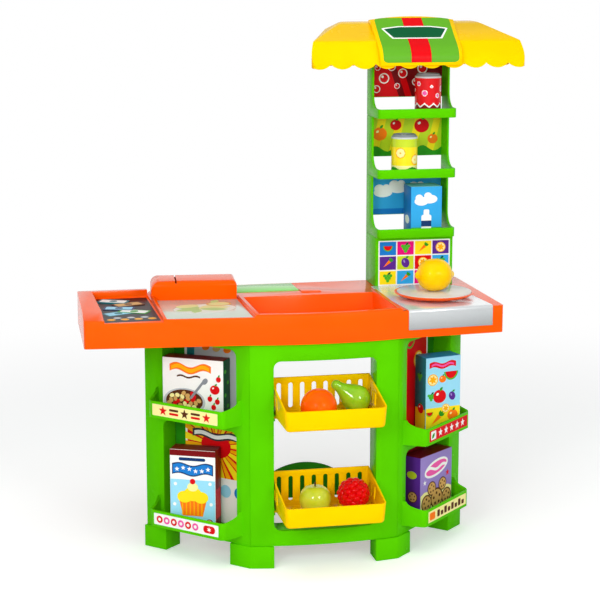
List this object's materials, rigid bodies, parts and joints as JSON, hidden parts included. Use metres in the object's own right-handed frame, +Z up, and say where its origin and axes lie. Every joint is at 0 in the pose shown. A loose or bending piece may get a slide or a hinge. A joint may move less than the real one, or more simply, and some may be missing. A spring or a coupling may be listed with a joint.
{
  "type": "toy market stall",
  "caption": "Child's toy market stall with slanted shelf units, pull-out baskets, a counter with till, basin and scale, and a shelf tower under a scalloped awning.",
  "frame": {"origin": "on the floor, under the middle of the whole stall's box", "axes": "+X to the shopper's right as they face the stall, +Y from the shopper to the back, +Z up"},
  "size_m": [0.927, 0.444, 1.052],
  "materials": {
    "green_plastic": "glossy moulded",
    "deep_green_plastic": "satin moulded",
    "orange_plastic": "glossy moulded",
    "yellow_plastic": "glossy moulded",
    "belt_plastic": "glossy printed",
    "silver_plastic": "glossy silver",
    "pan_plastic": "glossy moulded",
    "spring_steel": "drawn wire",
    "orange_food": "pitted skin",
    "pear_food": "satin",
    "apple_food": "satin",
    "berry_food": "satin",
    "lemon_food": "pitted skin",
    "cereal_card": "coated card",
    "snack_card": "coated card",
    "fruit_card": "coated card",
    "cookie_card": "coated card",
    "milk_card": "coated card",
    "red_can_skin": "glossy",
    "yellow_can_skin": "glossy"
  },
  "bodies": {
    "stall": {"front_panel": "green_plastic", "left_side_unit": "green_plastic", "right_side_unit": "green_plastic", "left_back_panel": "deep_green_plastic", "right_back_panel": "deep_green_plastic", "front_left_foot": "green_plastic", "front_right_foot": "green_plastic", "rear_left_foot": "green_plastic", "rear_right_foot": "green_plastic", "rear_brace": "deep_green_plastic", "counter_top": "orange_plastic", "register_housing": "orange_plastic", "belt_plate": "belt_plastic", "deck_plate": "green_plastic", "scale_plate": "silver_plastic", "pan_spring": "spring_steel", "tower_base": "green_plastic", "lower_shelf": "green_plastic", "middle_shelf": "green_plastic", "upper_shelf": "green_plastic", "awning": "yellow_plastic", "awning_sign": "yellow_plastic"},
    "apple": {"apple": "apple_food"},
    "berry": {"berry": "berry_food"},
    "cereal_box": {"cereal_box": "cereal_card"},
    "cookie_box": {"cookie_box": "cookie_card"},
    "fruit_box": {"fruit_box": "fruit_card"},
    "lemon": {"lemon": "lemon_food"},
    "lower_basket": {"lower_basket": "yellow_plastic"},
    "milk_carton": {"milk_carton": "milk_card"},
    "orange": {"orange": "orange_food"},
    "pear": {"pear": "pear_food"},
    "red_can": {"red_can": "red_can_skin"},
    "scale_pan": {"scale_pan": "orange_plastic", "pan_disc": "pan_plastic", "stem_clip": "spring_steel"},
    "snack_box": {"snack_box": "snack_card"},
    "upper_basket": {"upper_basket": "yellow_plastic"},
    "yellow_can": {"yellow_can": "yellow_can_skin"}
  },
  "joints": [
    {"name": "upper_basket_pull", "type": "slide", "parent": "stall", "child": "upper_basket", "axis": [0, -1, 0], "range_m": [0, 0.1]},
    {"name": "lower_basket_pull", "type": "slide", "parent": "stall", "child": "lower_basket", "axis": [0, -1, 0], "range_m": [0, 0.1]},
    {"name": "pan_press", "type": "slide", "parent": "stall", "child": "scale_pan", "axis": [0, 0, -1], "range_m": [0, 0.004], "stiffness_N_per_m": 2000, "springref_m": -0.004, "deforming": ["pan_spring"]},
    {"name": "orange_lift", "type": "slide", "parent": "upper_basket", "child": "orange", "axis": [0, 0, 1], "range_m": [0, 0.1]},
    {"name": "pear_lift", "type": "slide", "parent": "upper_basket", "child": "pear", "axis": [0, 0, 1], "range_m": [0, 0.03]},
    {"name": "apple_lift", "type": "slide", "parent": "lower_basket", "child": "apple", "axis": [0, 0, 1], "range_m": [0, 0.1]},
    {"name": "berry_lift", "type": "slide", "parent": "lower_basket", "child": "berry", "axis": [0, 0, 1], "range_m": [0, 0.1]},
    {"name": "lemon_lift", "type": "slide", "parent": "scale_pan", "child": "lemon", "axis": [0, 0, 1], "range_m": [0, 0.1]},
    {"name": "cereal_lift", "type": "slide", "parent": "stall", "child": "cereal_box", "axis": [0, 0, 1], "range_m": [0, 0.025]},
    {"name": "snack_lift", "type": "slide", "parent": "stall", "child": "snack_box", "axis": [0, 0, 1], "range_m": [0, 0.04]},
    {"name": "fruit_lift", "type": "slide", "parent": "stall", "child": "fruit_box", "axis": [0, 0, 1], "range_m": [0, 0.04]},
    {"name": "cookie_lift", "type": "slide", "parent": "stall", "child": "cookie_box", "axis": [0, 0, 1], "range_m": [0, 0.02]},
    {"name": "red_can_lift", "type": "slide", "parent": "stall", "child": "red_can", "axis": [0, 0, 1], "range_m": [0, 0.03]},
    {"name": "yellow_can_lift", "type": "slide", "parent": "stall", "child": "yellow_can", "axis": [0, 0, 1], "range_m": [0, 0.03]},
    {"name": "milk_lift", "type": "slide", "parent": "stall", "child": "milk_carton", "axis": [0, 0, 1], "range_m": [0, 0.014]}
  ]
}
